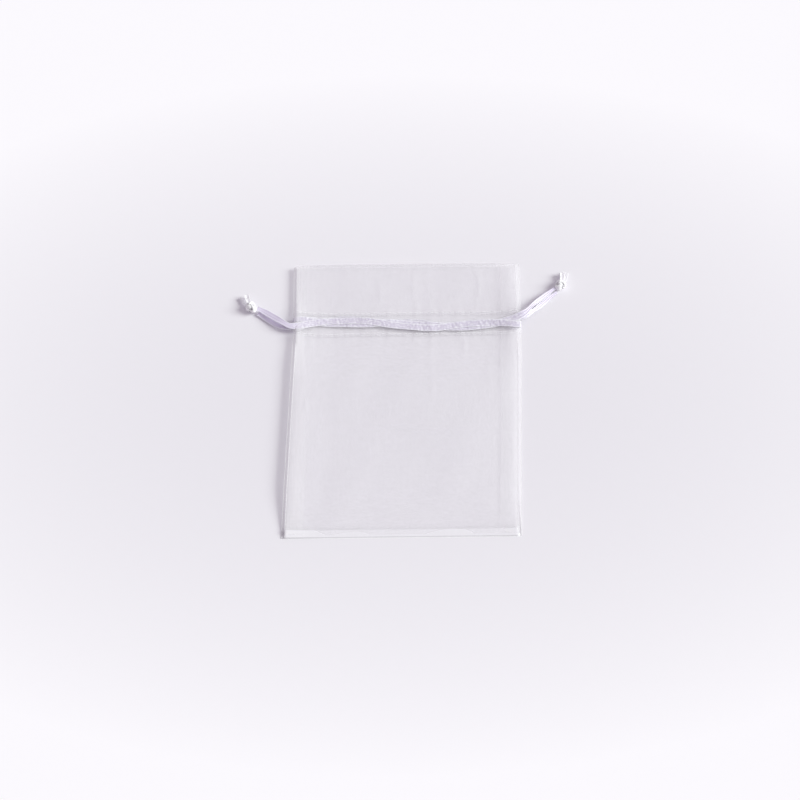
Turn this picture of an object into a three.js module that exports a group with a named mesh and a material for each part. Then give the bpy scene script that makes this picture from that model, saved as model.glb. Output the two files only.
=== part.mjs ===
// A flat organza gift pouch with two satin drawstrings, lying on its back panel.
// Millimetres. +X to the right, +Y from the sewn bottom to the mouth, +Z up from the table.
// The origin is on the table, under the middle of the bag.
import * as THREE from "three";

// ---- Driving dimensions ----
const BAG_WIDTH = 90;
const BAG_LENGTH = 120;
const MOUTH_NARROWING = 0.8; // the channel and header are this much narrower than the bottom
const SKEW = 1.65; // how far the mouth leans to +X and the bottom to -X
const HEADER_LENGTH = 22.1; // from the upper stitching to the folded top edge
const CHANNEL_LENGTH = 9.4; // between the two rows of stitching that hold the ribbons

const CLOTH = 0.3; // thickness of one layer
const CLEARANCE = 0.3; // between two pieces that lie on or beside each other
const SEAM_WIDTH = 1.2;
const STITCH_WIDTH = 0.6;
const SIDE_ALLOWANCE = 6.6;
const BOTTOM_ALLOWANCE = 3;

const RIBBON_WIDTH = 2.9;
const RIBBON_THICKNESS = 0.4;
const RIBBON_CHAMFER = 0.1;
const RIBBON_PITCH = 3.4; // between the two ribbons that share the channel
const TURN_RADIUS = 1.1; // of a ribbon's turn round the end of the channel
const STEPS_PER_POINT = 2;

// ---- Space between the outer faces of the back and front layers ----
const BODY_GAP = 5; // in the middle of the bag
const MOUTH_GAP = 4.3; // in the channel and the header
const SIDE_GAP = 1.2; // beside the side and bottom seams
const CHANNEL_SIDE_GAP = 2.9; // at the ends of the channel, where the ribbons pass
const HEADER_SIDE_GAP = 2.2;
const SIDE_LIFT = 2.1; // how far the side seams curl up from the table
const FLAT_SHARE = 0.6; // the share of the half width that lies flat on the table
const PILLOW_POWER = 6; // higher is flatter on top and steeper at the sides
const BOTTOM_REACH = 11; // how far the bottom seam pulls the front panel down

// ---- Places along the bag ----
const BOTTOM = -BAG_LENGTH / 2;
const TOP = BAG_LENGTH / 2;
const UPPER_ROW = TOP - HEADER_LENGTH;
const LOWER_ROW = UPPER_ROW - CHANNEL_LENGTH;
const STITCH_REACH = STITCH_WIDTH / 2 + CLEARANCE;
const PANEL_START = BOTTOM + SEAM_WIDTH + CLEARANCE;
const PANEL_END = LOWER_ROW - STITCH_REACH;
const CHANNEL_START = LOWER_ROW + STITCH_REACH;
const CHANNEL_END = UPPER_ROW - STITCH_REACH;
const HEADER_START = UPPER_ROW + STITCH_REACH;
const CHANNEL_MIDDLE = (LOWER_ROW + UPPER_ROW) / 2;
const RIBBON_ROOM = CLEARANCE + RIBBON_THICKNESS + CLEARANCE;
const SIDE_MARGIN = SEAM_WIDTH + CLEARANCE;
const ALLOWANCE_HEIGHT = CLOTH + 0.45; // above the underside of the back panel
const HEADER_ALLOWANCE_HEIGHT = 2 * CLOTH + CLEARANCE + 0.35;

const { lerp, smoothstep } = THREE.MathUtils;

const COLOURS = {
  organza: 0xe6e4ec,
  foldedOrganza: 0xebeaf1,
  seam: 0xf2f1f6,
  thread: 0xf7f7fa,
  satin: 0xe9e7f4,
};
const ROUGHNESS = { organza: 0.6, foldedOrganza: 0.6, seam: 0.6, thread: 0.5, satin: 0.35 };

function makeMaterial(kind) {
  return new THREE.MeshStandardMaterial({ color: COLOURS[kind], roughness: ROUGHNESS[kind], metalness: 0 });
}

const pouch = new THREE.Group();
pouch.name = "drawstring_gift_pouch";

function addPiece(name, geometry, kind) {
  const piece = new THREE.Mesh(geometry, makeMaterial(kind));
  piece.name = name;
  pouch.add(piece);
  return piece;
}

// ---- The bag's surfaces ----

// The middle line leans from the bottom to the channel and is straight above it.
function centreX(y) {
  return lerp(-SKEW, SKEW, Math.min(1, (y - BOTTOM) / (LOWER_ROW - BOTTOM)));
}

function halfWidth(y) {
  const climb = Math.min(1, (y - BOTTOM) / (LOWER_ROW - BOTTOM));
  return (BAG_WIDTH - MOUTH_NARROWING * climb) / 2;
}

// 0 well below a height, 1 well above it.
function above(y, height, reach) {
  return smoothstep(y, height - reach / 2, height + reach / 2);
}

// The underside of the back layer: flat on the table, curling up to the side seams.
function backUnderside(side) {
  const curl = Math.max(0, (Math.abs(side) - FLAT_SHARE) / (1 - FLAT_SHARE));
  return SIDE_LIFT * curl ** 2;
}

function sideGap(y) {
  const atChannel = lerp(SIDE_GAP, CHANNEL_SIDE_GAP, above(y, LOWER_ROW - 8, 14));
  return lerp(atChannel, HEADER_SIDE_GAP, above(y, UPPER_ROW + 6, 8));
}

// The clear height between the back and front outer layers.
function innerGap(side, y) {
  const middle = lerp(BODY_GAP, MOUTH_GAP, above(y, LOWER_ROW - 12, 20));
  const fromBottom = Math.min(1, Math.max(0, (y - PANEL_START) / BOTTOM_REACH));
  const bottomShare = 1 - (1 - fromBottom) ** 3;
  const sideShare = 1 - Math.abs(side) ** PILLOW_POWER;
  return sideGap(y) + (middle - sideGap(y)) * sideShare * bottomShare;
}

// The underside of a layer that lies the given depth inside the front or back outer layer.
function backLayer(depth) {
  return (side) => backUnderside(side) + depth;
}

function frontLayer(depth) {
  return (side, y) => backUnderside(side) + CLOTH + innerGap(side, y) - depth;
}

// ---- Cloth ----

// A slab of cloth: a box divided into a grid whose corners run from -1 to 1, moved onto the bag.
function clothGeometry(columns, rows, place) {
  const geometry = new THREE.BoxGeometry(2, 2, 2, columns, rows, 1);
  const corners = geometry.attributes.position;
  for (let i = 0; i < corners.count; i += 1) {
    const point = place(corners.getX(i), corners.getY(i), corners.getZ(i));
    corners.setXYZ(i, point.x, point.y, point.z);
  }
  geometry.computeVertexNormals();
  return geometry;
}

// A layer across the bag, between two heights and two distances from its middle line.
function layerGeometry({ columns, rows, from, to, left, right, underside, thickness = CLOTH }) {
  return clothGeometry(columns, rows, (across, along, up) => {
    const y = lerp(from, to, (along + 1) / 2);
    const edges = [left(y), right(y)];
    const offset = lerp(edges[0], edges[1], (across + 1) / 2);
    const side = offset / halfWidth(y);
    const z = underside(side, y) + thickness * ((up + 1) / 2);
    return new THREE.Vector3(centreX(y) + offset, y, z);
  });
}

const leftInside = (y) => SIDE_MARGIN - halfWidth(y);
const rightInside = (y) => halfWidth(y) - SIDE_MARGIN;

function addLayer(name, kind, from, to, underside, grid) {
  const geometry = layerGeometry({ ...grid, from, to, left: leftInside, right: rightInside, underside });
  addPiece(name, geometry, kind);
}

const PANEL_GRID = { columns: 22, rows: 14 };
const BAND_GRID = { columns: 22, rows: 2 };
const ROW_GRID = { columns: 22, rows: 1 };

function addPanels() {
  addLayer("back_panel", "organza", PANEL_START, PANEL_END, backLayer(0), PANEL_GRID);
  addLayer("front_panel", "organza", PANEL_START, PANEL_END, frontLayer(0), PANEL_GRID);
}

// Above the panels the cloth is double: an outer layer, and a facing folded down inside it.
function addMouth() {
  const outer = { back: backLayer(0), front: frontLayer(0) };
  const headerFacing = { back: backLayer(CLOTH + CLEARANCE), front: frontLayer(CLOTH + CLEARANCE) };
  const channelFacing = { back: backLayer(CLOTH + RIBBON_ROOM), front: frontLayer(CLOTH + RIBBON_ROOM) };
  const kind = "foldedOrganza";
  for (const face of ["back", "front"]) {
    addLayer(`${face}_channel`, kind, CHANNEL_START, CHANNEL_END, outer[face], BAND_GRID);
    addLayer(`${face}_channel_facing`, kind, CHANNEL_START, CHANNEL_END, channelFacing[face], BAND_GRID);
    addLayer(`${face}_header`, kind, HEADER_START, TOP, outer[face], BAND_GRID);
    addLayer(`${face}_header_facing`, kind, HEADER_START, TOP, headerFacing[face], BAND_GRID);
  }
}

// Each row of stitching joins the outer layer to the facing, and closes one side of the channel.
function addStitching() {
  const height = 2 * CLOTH + RIBBON_ROOM;
  const rows = { lower: LOWER_ROW, upper: UPPER_ROW };
  for (const [row, y] of Object.entries(rows)) {
    const limits = { from: y - STITCH_WIDTH / 2, to: y + STITCH_WIDTH / 2 };
    const shape = { ...ROW_GRID, ...limits, left: leftInside, right: rightInside, thickness: height };
    addPiece(`back_${row}_stitching`, layerGeometry({ ...shape, underside: backLayer(0) }), "thread");
    const frontUnderside = frontLayer(CLOTH + RIBBON_ROOM);
    addPiece(`front_${row}_stitching`, layerGeometry({ ...shape, underside: frontUnderside }), "thread");
  }
}

// ---- Seams ----

// A seam stands the full height of the bag's edge, from the back layer's underside to the front's top.
function seamGeometry({ columns, rows, from, to, left, right }) {
  return clothGeometry(columns, rows, (across, along, up) => {
    const y = lerp(from, to, (along + 1) / 2);
    const offset = lerp(left(y), right(y), (across + 1) / 2);
    const low = backUnderside(offset / halfWidth(y));
    const high = low + 2 * CLOTH + sideGap(y);
    return new THREE.Vector3(centreX(y) + offset, y, lerp(low, high, (up + 1) / 2));
  });
}

const seamEdges = {
  left: { left: (y) => -halfWidth(y), right: (y) => SEAM_WIDTH - halfWidth(y) },
  right: { left: (y) => halfWidth(y) - SEAM_WIDTH, right: (y) => halfWidth(y) },
};

function addSeams() {
  for (const side of ["left", "right"]) {
    const lower = { columns: 1, rows: 14, from: PANEL_START, to: PANEL_END };
    const upper = { columns: 1, rows: 4, from: HEADER_START, to: TOP };
    addPiece(`${side}_side_seam`, seamGeometry({ ...lower, ...seamEdges[side] }), "seam");
    addPiece(`${side}_header_seam`, seamGeometry({ ...upper, ...seamEdges[side] }), "seam");
  }
  const bottom = { columns: 22, rows: 1, from: BOTTOM, to: BOTTOM + SEAM_WIDTH };
  const wholeWidth = { left: (y) => -halfWidth(y), right: halfWidth };
  addPiece("bottom_seam", seamGeometry({ ...bottom, ...wholeWidth }), "seam");
}

// The raw edges of the cloth are turned inside: below the channel they lie on the back panel,
// and above it they lie on the back header's facing.
const allowanceEdges = {
  left: { left: leftInside, right: (y) => leftInside(y) + SIDE_ALLOWANCE },
  right: { left: (y) => rightInside(y) - SIDE_ALLOWANCE, right: rightInside },
};

function addAllowances() {
  const bottomStart = PANEL_START + CLEARANCE;
  const bottomEnd = bottomStart + BOTTOM_ALLOWANCE;
  const onPanel = { rows: 10, from: bottomEnd + CLEARANCE, to: PANEL_END - CLEARANCE };
  const onHeader = { rows: 3, from: HEADER_START + CLEARANCE, to: TOP - CLEARANCE };
  const panelDepth = backLayer(ALLOWANCE_HEIGHT);
  const headerDepth = backLayer(HEADER_ALLOWANCE_HEIGHT);
  for (const side of ["left", "right"]) {
    const edges = { columns: 3, ...allowanceEdges[side] };
    const lower = layerGeometry({ ...onPanel, ...edges, underside: panelDepth });
    const upper = layerGeometry({ ...onHeader, ...edges, underside: headerDepth });
    addPiece(`${side}_seam_allowance`, lower, "foldedOrganza");
    addPiece(`${side}_header_allowance`, upper, "foldedOrganza");
  }
  const wide = { columns: 22, rows: 1, from: bottomStart, to: bottomEnd, underside: panelDepth };
  const geometry = layerGeometry({ ...wide, left: leftInside, right: rightInside });
  addPiece("bottom_seam_allowance", geometry, "foldedOrganza");
}

// ---- Ribbons ----

// A curve that spends the same number of steps between each two of its points, so that
// the tight turns, where the points are close, are the finest.
class RibbonCurve extends THREE.CatmullRomCurve3 {
  getPointAt(share) {
    return this.getPoint(share);
  }

  getTangentAt(share) {
    return this.getTangent(share);
  }
}

// A flat ribbon's section: its thickness along x and its width along y, with cut corners.
function ribbonSection() {
  const thick = RIBBON_THICKNESS / 2;
  const wide = RIBBON_WIDTH / 2;
  const section = new THREE.Shape();
  section.moveTo(thick, -wide + RIBBON_CHAMFER);
  section.lineTo(thick, wide - RIBBON_CHAMFER);
  section.lineTo(thick - RIBBON_CHAMFER, wide);
  section.lineTo(-thick + RIBBON_CHAMFER, wide);
  section.lineTo(-thick, wide - RIBBON_CHAMFER);
  section.lineTo(-thick, -wide + RIBBON_CHAMFER);
  section.lineTo(-thick + RIBBON_CHAMFER, -wide);
  section.lineTo(thick - RIBBON_CHAMFER, -wide);
  section.closePath();
  return section;
}

function ribbonGeometry(points) {
  const curve = new RibbonCurve(points);
  const steps = STEPS_PER_POINT * (points.length - 1);
  return new THREE.ExtrudeGeometry(ribbonSection(), { steps, extrudePath: curve });
}

function toVectors(points) {
  return points.map(([x, y, z]) => new THREE.Vector3(x, y, z));
}

// Where a ribbon lies inside the channel: halfway between the outer layer and its facing.
function ribbonHeight(face, side) {
  const layer = face === "front" ? frontLayer(RIBBON_ROOM / 2) : backLayer(CLOTH + RIBBON_ROOM / 2);
  return layer(side, CHANNEL_MIDDLE);
}

const CHANNEL_HALF = halfWidth(CHANNEL_MIDDLE) - SIDE_MARGIN;
const CHANNEL_CENTRE = centreX(CHANNEL_MIDDLE);
const CHANNEL_SIDES = [-1, -0.88, -0.74, -0.6, -0.3, 0, 0.3, 0.6, 0.74, 0.88, 1];

// The points of one strand in the channel, from its knot's side to the far side.
function channelStrand(face, y, heading) {
  return CHANNEL_SIDES.map((share) => {
    const offset = heading * share * CHANNEL_HALF;
    const side = offset / halfWidth(CHANNEL_MIDDLE);
    return new THREE.Vector3(CHANNEL_CENTRE + offset, y, ribbonHeight(face, side));
  });
}

// The turn round the far end of the channel, from the front strand down to the back one.
function farTurn(y, heading) {
  const side = CHANNEL_HALF / halfWidth(CHANNEL_MIDDLE);
  const high = ribbonHeight("front", side);
  const low = ribbonHeight("back", side);
  const points = [];
  for (const degrees of [90, 45, 0, -45, -90]) {
    const angle = THREE.MathUtils.degToRad(degrees);
    const reach = TURN_RADIUS * (1 + Math.cos(angle));
    const z = (high + low) / 2 + ((high - low) / 2) * Math.sin(angle);
    points.push(new THREE.Vector3(CHANNEL_CENTRE + heading * (CHANNEL_HALF + reach), y, z));
  }
  return points;
}

// A ribbon runs from its knot through the front of the channel, round the far end, and
// back through the back of the channel to the same knot.
function addRibbon({ name, y, heading, frontTail, backTail }) {
  const points = [
    ...toVectors(frontTail),
    ...channelStrand("front", y, heading),
    ...farTurn(y, heading),
    ...channelStrand("back", y, heading).reverse(),
    ...toVectors(backTail).reverse(),
  ];
  addPiece(name, ribbonGeometry(points), "satin");
}

function addKnot({ name, centre, size, turn, tips }) {
  const knot = addPiece(`${name}_knot`, new THREE.SphereGeometry(1, 16, 10), "satin");
  knot.scale.set(...size);
  knot.rotation.z = THREE.MathUtils.degToRad(turn);
  knot.position.set(...centre);
  for (const [label, route] of Object.entries(tips)) {
    addPiece(`${name}_${label}_tip`, ribbonGeometry(toVectors(route)), "satin");
  }
}

// The tails run from the knot, over the table, up to the end of the channel.
const LEFT_RIBBON = {
  name: "left_ribbon",
  y: CHANNEL_MIDDLE - RIBBON_PITCH / 2,
  heading: 1,
  frontTail: [
    [-57.1, 40.8, 1.9],
    [-54.4, 39.2, 1.9],
    [-51.2, 36.8, 2.3],
    [-47.8, 34.1, 3.3],
    [-44.6, 32, 4.4],
  ],
  backTail: [
    [-57.1, 39.1, 0.9],
    [-54.4, 37.4, 0.8],
    [-51.2, 35, 0.9],
    [-47.8, 32.8, 1.5],
    [-44.6, 31.6, 2.3],
  ],
};

const RIGHT_RIBBON = {
  name: "right_ribbon",
  y: CHANNEL_MIDDLE + RIBBON_PITCH / 2,
  heading: -1,
  frontTail: [
    [60.2, 48.6, 1.9],
    [57.9, 46.7, 1.9],
    [54.6, 43.8, 2.2],
    [51.2, 40.4, 3.1],
    [48.2, 37, 4.3],
  ],
  backTail: [
    [61, 47.3, 0.9],
    [58.6, 45.4, 0.8],
    [55.4, 42.3, 0.9],
    [51.8, 38.9, 1.5],
    [48.4, 36.1, 2.3],
  ],
};

const LEFT_KNOT = {
  name: "left",
  centre: [-59.7, 41.3, 1.9],
  size: [2.3, 2.5, 1.8],
  turn: 35,
  tips: {
    upper: [
      [-61, 44.2, 1.9],
      [-61.4, 45.6, 1.8],
      [-61.7, 47.2, 1.7],
    ],
    lower: [
      [-62.2, 43.6, 0.9],
      [-63.1, 44.9, 0.8],
      [-64.2, 46.5, 0.6],
    ],
  },
};

const RIGHT_KNOT = {
  name: "right",
  centre: [62.5, 50.1, 1.9],
  size: [2.5, 2.3, 1.8],
  turn: 42,
  tips: {
    upper: [
      [63.2, 53, 1.9],
      [63.3, 54.4, 1.8],
      [63.4, 56, 1.7],
    ],
    lower: [
      [64.4, 52.9, 0.9],
      [64.9, 54.6, 0.8],
      [65.4, 57, 0.6],
    ],
  },
};

addPanels();
addMouth();
addStitching();
addSeams();
addAllowances();
addRibbon(LEFT_RIBBON);
addRibbon(RIGHT_RIBBON);
addKnot(LEFT_KNOT);
addKnot(RIGHT_KNOT);

export default pouch;
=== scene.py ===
"""The looks of a sheer organza gift pouch with two satin drawstrings, lying on a pale table.

Everything is in metres in the part's own frame: +X across the bag, +Y from its sewn bottom to its
mouth, +Z up from the table. The bag's cloth is built as thin sheets on the CAD model's surfaces.
The cloth of the mouth gathers towards the middle as the ribbons are pulled, so each sheet is split
along the line where the gathering starts, and its parts squash or blend to the same places.
"""

import math

import bpy
import numpy as np
from mathutils import Matrix, Vector


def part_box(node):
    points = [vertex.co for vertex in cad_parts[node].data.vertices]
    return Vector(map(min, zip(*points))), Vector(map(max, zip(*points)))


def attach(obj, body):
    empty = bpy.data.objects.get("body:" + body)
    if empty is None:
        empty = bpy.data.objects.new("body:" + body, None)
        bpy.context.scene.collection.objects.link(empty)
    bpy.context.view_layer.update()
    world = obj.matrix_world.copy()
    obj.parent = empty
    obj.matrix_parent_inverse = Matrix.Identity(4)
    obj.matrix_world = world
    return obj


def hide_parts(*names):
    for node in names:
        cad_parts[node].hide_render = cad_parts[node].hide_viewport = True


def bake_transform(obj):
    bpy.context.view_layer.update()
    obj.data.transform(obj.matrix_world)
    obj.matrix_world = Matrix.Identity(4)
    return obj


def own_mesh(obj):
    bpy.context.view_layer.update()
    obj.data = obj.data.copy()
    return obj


MM = 0.001

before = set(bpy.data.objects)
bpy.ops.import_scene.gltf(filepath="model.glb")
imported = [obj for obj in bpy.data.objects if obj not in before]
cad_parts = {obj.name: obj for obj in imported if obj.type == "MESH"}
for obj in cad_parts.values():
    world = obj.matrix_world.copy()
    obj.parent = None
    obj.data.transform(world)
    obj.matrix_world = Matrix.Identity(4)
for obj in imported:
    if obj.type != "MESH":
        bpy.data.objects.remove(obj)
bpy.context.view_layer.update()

# ---- Where things are, from the frame ----
bottom_low, bottom_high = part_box("bottom_seam")
left_low, left_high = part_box("left_header_seam")
right_low, right_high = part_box("right_header_seam")
lower_low, lower_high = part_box("back_lower_stitching")
upper_low, upper_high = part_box("back_upper_stitching")

BOTTOM = bottom_low[1]
TOP = left_high[1]
LOWER_ROW = (lower_low[1] + lower_high[1]) / 2
UPPER_ROW = (upper_low[1] + upper_high[1]) / 2
HALF_BOTTOM = (bottom_high[0] - bottom_low[0]) / 2
HALF_MOUTH = (right_high[0] - left_low[0]) / 2
CENTRE_BOTTOM = (bottom_high[0] + bottom_low[0]) / 2
CENTRE_MOUTH = (right_high[0] + left_low[0]) / 2

# ---- Shape of the cloth ----
LEFT_SIDE_LIFT = 2.9 * MM  # how far the back layer curls up at the side seams
RIGHT_SIDE_LIFT = 1.1 * MM
MOUTH_SIDE_LIFT = 1.9 * MM
BOTTOM_LIFT_SHARE = 0.12  # the share of that lift that is left at the bottom
FLAT_SHARE = 0.6  # the share of each half that lies flat before it curls
LEFT_DROOP = 0.75  # how steeply the edges turn down outside their stitches
RIGHT_DROOP = 0.45
SEAM = 1.2 * MM  # from the edge to the row of stitches
TABLE_GAP = 0.12 * MM
BODY_GAP = 4.3 * MM  # between the back and front layers, in the middle of the bag
MOUTH_GAP = 1.6 * MM  # and in the channel
TOP_GAP = 2.9 * MM  # and at the top
SIDE_GAP = 0.25 * MM  # and the same three at the side seams
CHANNEL_SIDE_GAP = 1.3 * MM
HEADER_SIDE_GAP = 0.3 * MM
PILLOW_POWER = 6  # the higher, the flatter the front layer is between its seams
BOTTOM_REACH = 24 * MM  # from the bottom seam to where the bag is at its full height
BACK_LIFT = 0.09 * MM
PUCKER_REACH = 4 * MM
FACING_DEPTH = 0.58 * MM  # how far the facings lie inside the outer layers
HEADER_FACING_DEPTH = 0.22 * MM
FRONT_FOLD_FALL = 2.7 * MM  # how far the fold at the top hangs down towards the back layer
BACK_FOLD_FALL = 0.10 * MM
FOLD_PROUD = 0.30 * MM
GATHER_START = -32 * MM  # below this the cloth doesn't move when the mouth is gathered
CELL = 0.9 * MM

# Light creases in the front cloth, in millimetres: a point on the crease, how it bends, how far it
# reaches either way along the bag, and its height.
CREASES = (
    (-8.7, 46.5, 0.020, 5.0, 0.22),
    (4.2, 50.0, -0.022, 7.0, 0.22),
    (30.2, 49.5, 0.022, 8.0, 0.32),
    (24.0, 22.5, 0.030, 5.0, 0.20),
    (32.5, 10.0, -0.020, 6.0, 0.16),
    (-37.5, -4.5, 0.100, 2.0, 0.20),
)


def lerp(a, b, share):
    return a + (b - a) * share


def smooth(value, low, high):
    """0 below low and 1 above high, with a smooth climb between them."""
    share = np.clip((value - low) / (high - low), 0, 1)
    return share * share * (3 - 2 * share)


def centre_x(y):
    return lerp(CENTRE_BOTTOM, CENTRE_MOUTH, np.clip((y - BOTTOM) / (LOWER_ROW - BOTTOM), 0, 1))


def half_width(y):
    return lerp(HALF_BOTTOM, HALF_MOUTH, np.clip((y - BOTTOM) / (LOWER_ROW - BOTTOM), 0, 1))


def side_of(x, y):
    """-1 at the left edge of the bag and 1 at the right edge."""
    return (x - centre_x(y)) / half_width(y)


def back_height(x, y):
    """The back layer: flat on the table, curling up to the side seams."""
    side = np.clip(np.abs(side_of(x, y)), 0, 1)
    curl = np.maximum(0, (side - FLAT_SHARE) / (1 - FLAT_SHARE))
    body_lift = np.where(x < CENTRE_MOUTH, LEFT_SIDE_LIFT, RIGHT_SIDE_LIFT)
    lift = lerp(body_lift, MOUTH_SIDE_LIFT, smooth(y, LOWER_ROW - 16 * MM, UPPER_ROW))
    lift = lift * lerp(BOTTOM_LIFT_SHARE, 1, smooth(y, BOTTOM - 4 * MM, BOTTOM + BOTTOM_REACH))
    return TABLE_GAP + lift * curl**2


def side_gap(y):
    at_channel = lerp(SIDE_GAP, CHANNEL_SIDE_GAP, smooth(y, LOWER_ROW - 7 * MM, LOWER_ROW + 1 * MM))
    return lerp(at_channel, HEADER_SIDE_GAP, smooth(y, UPPER_ROW - 1 * MM, UPPER_ROW + 7 * MM))


def gap_between(x, y):
    """The clear height between the back and front outer layers."""
    middle = lerp(BODY_GAP, MOUTH_GAP, smooth(y, LOWER_ROW - 26 * MM, LOWER_ROW))
    middle = lerp(middle, TOP_GAP, smooth(y, UPPER_ROW, TOP - 6 * MM))
    inside = half_width(y) - SEAM
    side = np.clip(np.abs(x - centre_x(y)) / inside, 0, 1)
    from_bottom = np.clip((y - BOTTOM - SEAM) / BOTTOM_REACH, 0, 1)
    bottom_share = 1 - (1 - from_bottom) ** 2
    side_share = 1 - side**PILLOW_POWER
    return side_gap(y) + (middle - side_gap(y)) * side_share * bottom_share


def wave(x, y, *terms):
    """A sum of sines. Each term is amplitude and wavelengths along x and y, in millimetres, and
    phase."""
    total = np.zeros(np.broadcast(x, y).shape)
    for amplitude, across, along, phase in terms:
        turns = x / (across * MM) + y / (along * MM)
        total = total + amplitude * MM * np.sin(2 * math.pi * turns + phase)
    return total


def ridge(distance, width):
    """A soft crease: 1 on its line and 0 a width away."""
    return np.exp(-((distance / width) ** 2))


def near_rows(y):
    """1 on each row of stitching and 0 away from it."""
    return ridge(y - LOWER_ROW, PUCKER_REACH) + ridge(y - UPPER_ROW, PUCKER_REACH)


def off_edge(x, y):
    """0 at the sewn edge, which holds the cloth flat, and 1 a few millimetres inside it."""
    return smooth(half_width(y) - np.abs(x - centre_x(y)), 0.8 * MM, 6 * MM)


def front_ripple(x, y):
    """The unevenness of the front cloth: broad waves, puckers at the stitching, and creases."""
    broad = wave(x, y, (0.10, 47, 90, 0.4), (0.07, -31, 58, 1.9), (0.05, 19, -44, 2.7))
    puckers = wave(
        x, y, (0.055, 5.3, 160, 0.0), (0.035, 3.4, -90, 1.1), (0.045, 8.9, 70, 2.0)
    )
    fold_line = y + 15 * MM + 0.055 * (x + 3 * MM) + 0.6 * MM * np.sin(x / (9 * MM))
    fold = 0.34 * MM * ridge(fold_line, 0.8 * MM) * smooth(x, -26 * MM, 20 * MM)
    upright = 0.10 * MM * ridge(x - 10.6 * MM, 1.3 * MM) * smooth(y, -6 * MM, 2 * MM)
    creases = np.zeros(np.broadcast(x, y).shape)
    for at_x, at_y, bend, reach, rise in CREASES:
        across = x - at_x * MM + bend / MM * (y - at_y * MM) ** 2
        creases = creases + rise * MM * ridge(across, 1.0 * MM) * ridge(y - at_y * MM, reach * MM)
    return (broad + puckers * near_rows(y) + fold + upright + creases) * off_edge(x, y)


def back_ripple(x, y):
    broad = wave(x, y, (0.05, 39, -80, 1.0), (0.04, 27, 60, 0.2))
    puckers = wave(x, y, (0.05, 5.9, 130, 0.8), (0.03, 3.7, -80, 2.1))
    return (BACK_LIFT + broad + puckers * near_rows(y)) * off_edge(x, y)


def edge_droop(x, y):
    """How far the sewn edges turn down outside their stitches."""
    outside = np.abs(x - centre_x(y)) - (half_width(y) - SEAM)
    return np.where(x < 0, LEFT_DROOP, RIGHT_DROOP) * np.maximum(outside, 0)


def layer_height(face, depth):
    """The height of a layer that lies a depth inside the front or back outer layer."""

    def height(x, y):
        if face == "back":
            return back_height(x, y) + back_ripple(x, y) + depth - edge_droop(x, y)
        return back_height(x, y) + gap_between(x, y) + front_ripple(x, y) - depth - edge_droop(x, y)

    return height


# ---- Making meshes ----


def add_object(name, data):
    obj = bpy.data.objects.new(name, data)
    bpy.context.scene.collection.objects.link(obj)
    return obj


def new_piece(name, node, vertices, faces, material, uvs=None, normals=None):
    """A mesh object that shows in place of a CAD node."""
    mesh = bpy.data.meshes.new(name)
    mesh.from_pydata([tuple(v) for v in vertices], [], faces)
    mesh.update()
    if uvs is not None:
        layer = mesh.uv_layers.new(name="cloth")
        loops = np.zeros(len(mesh.loops), np.int32)
        mesh.loops.foreach_get("vertex_index", loops)
        layer.data.foreach_set("uv", np.asarray(uvs, np.float32)[loops].ravel())
    mesh.polygons.foreach_set("use_smooth", [True] * len(mesh.polygons))
    if normals is not None:
        mesh.normals_split_custom_set_from_vertices([tuple(n) for n in normals])
    obj = add_object(name, mesh)
    mesh.materials.append(material)
    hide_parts(node)
    return obj


def grid_faces(rows, columns):
    """Faces of a grid of rows x columns points, listed row by row, that face up."""
    faces = []
    for r in range(rows - 1):
        for c in range(columns - 1):
            a = r * columns + c
            faces.append((a, a + 1, a + columns + 1, a + columns))
    return faces


def flat_area(points, faces):
    """The area of the cloth as it was cut, before it was lifted off the flat."""
    total = 0.0
    for face in faces:
        x = points[list(face), 0]
        y = points[list(face), 1]
        total += 0.5 * abs(np.dot(x, np.roll(y, -1)) - np.dot(y, np.roll(x, -1)))
    return total


def surface_normals(height, x, y):
    step = 0.05 * MM
    slope_x = (height(x + step, y) - height(x - step, y)) / (2 * step)
    slope_y = (height(x, y + step) - height(x, y - step)) / (2 * step)
    normals = np.stack([-slope_x, -slope_y, np.ones_like(x)], axis=-1)
    return normals / np.linalg.norm(normals, axis=-1, keepdims=True)


def cloth_sheet(name, height, left, right, start, end, material, node):
    """A sheet between two edges, each a function of y, that follows a height function. It comes
    with the length, width and area of the cloth as it was cut."""
    rows = max(3, int(round((end - start) / CELL)) + 1)
    ys = np.linspace(start, end, rows)
    widest = max(right(y) - left(y) for y in ys)
    columns = max(3, int(round(widest / CELL)) + 1)
    share = np.linspace(0, 1, columns)[None, :]
    y = np.repeat(ys[:, None], columns, axis=1)
    lows = np.array([left(v) for v in ys])[:, None]
    highs = np.array([right(v) for v in ys])[:, None]
    x = lows + (highs - lows) * share
    z = height(x, y)
    points = np.stack([x, y, z], axis=-1).reshape(-1, 3)
    faces = grid_faces(rows, columns)
    uvs = np.stack([x, y], axis=-1).reshape(-1, 2)
    normals = surface_normals(height, x, y).reshape(-1, 3)
    obj = new_piece(name, node, points, faces, material, uvs, normals)
    size = (float(x.max() - x.min()), float(end - start))
    return obj, size, flat_area(points, faces)


# ---- Materials ----
YARNS_PER_METRE = 2600


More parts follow.
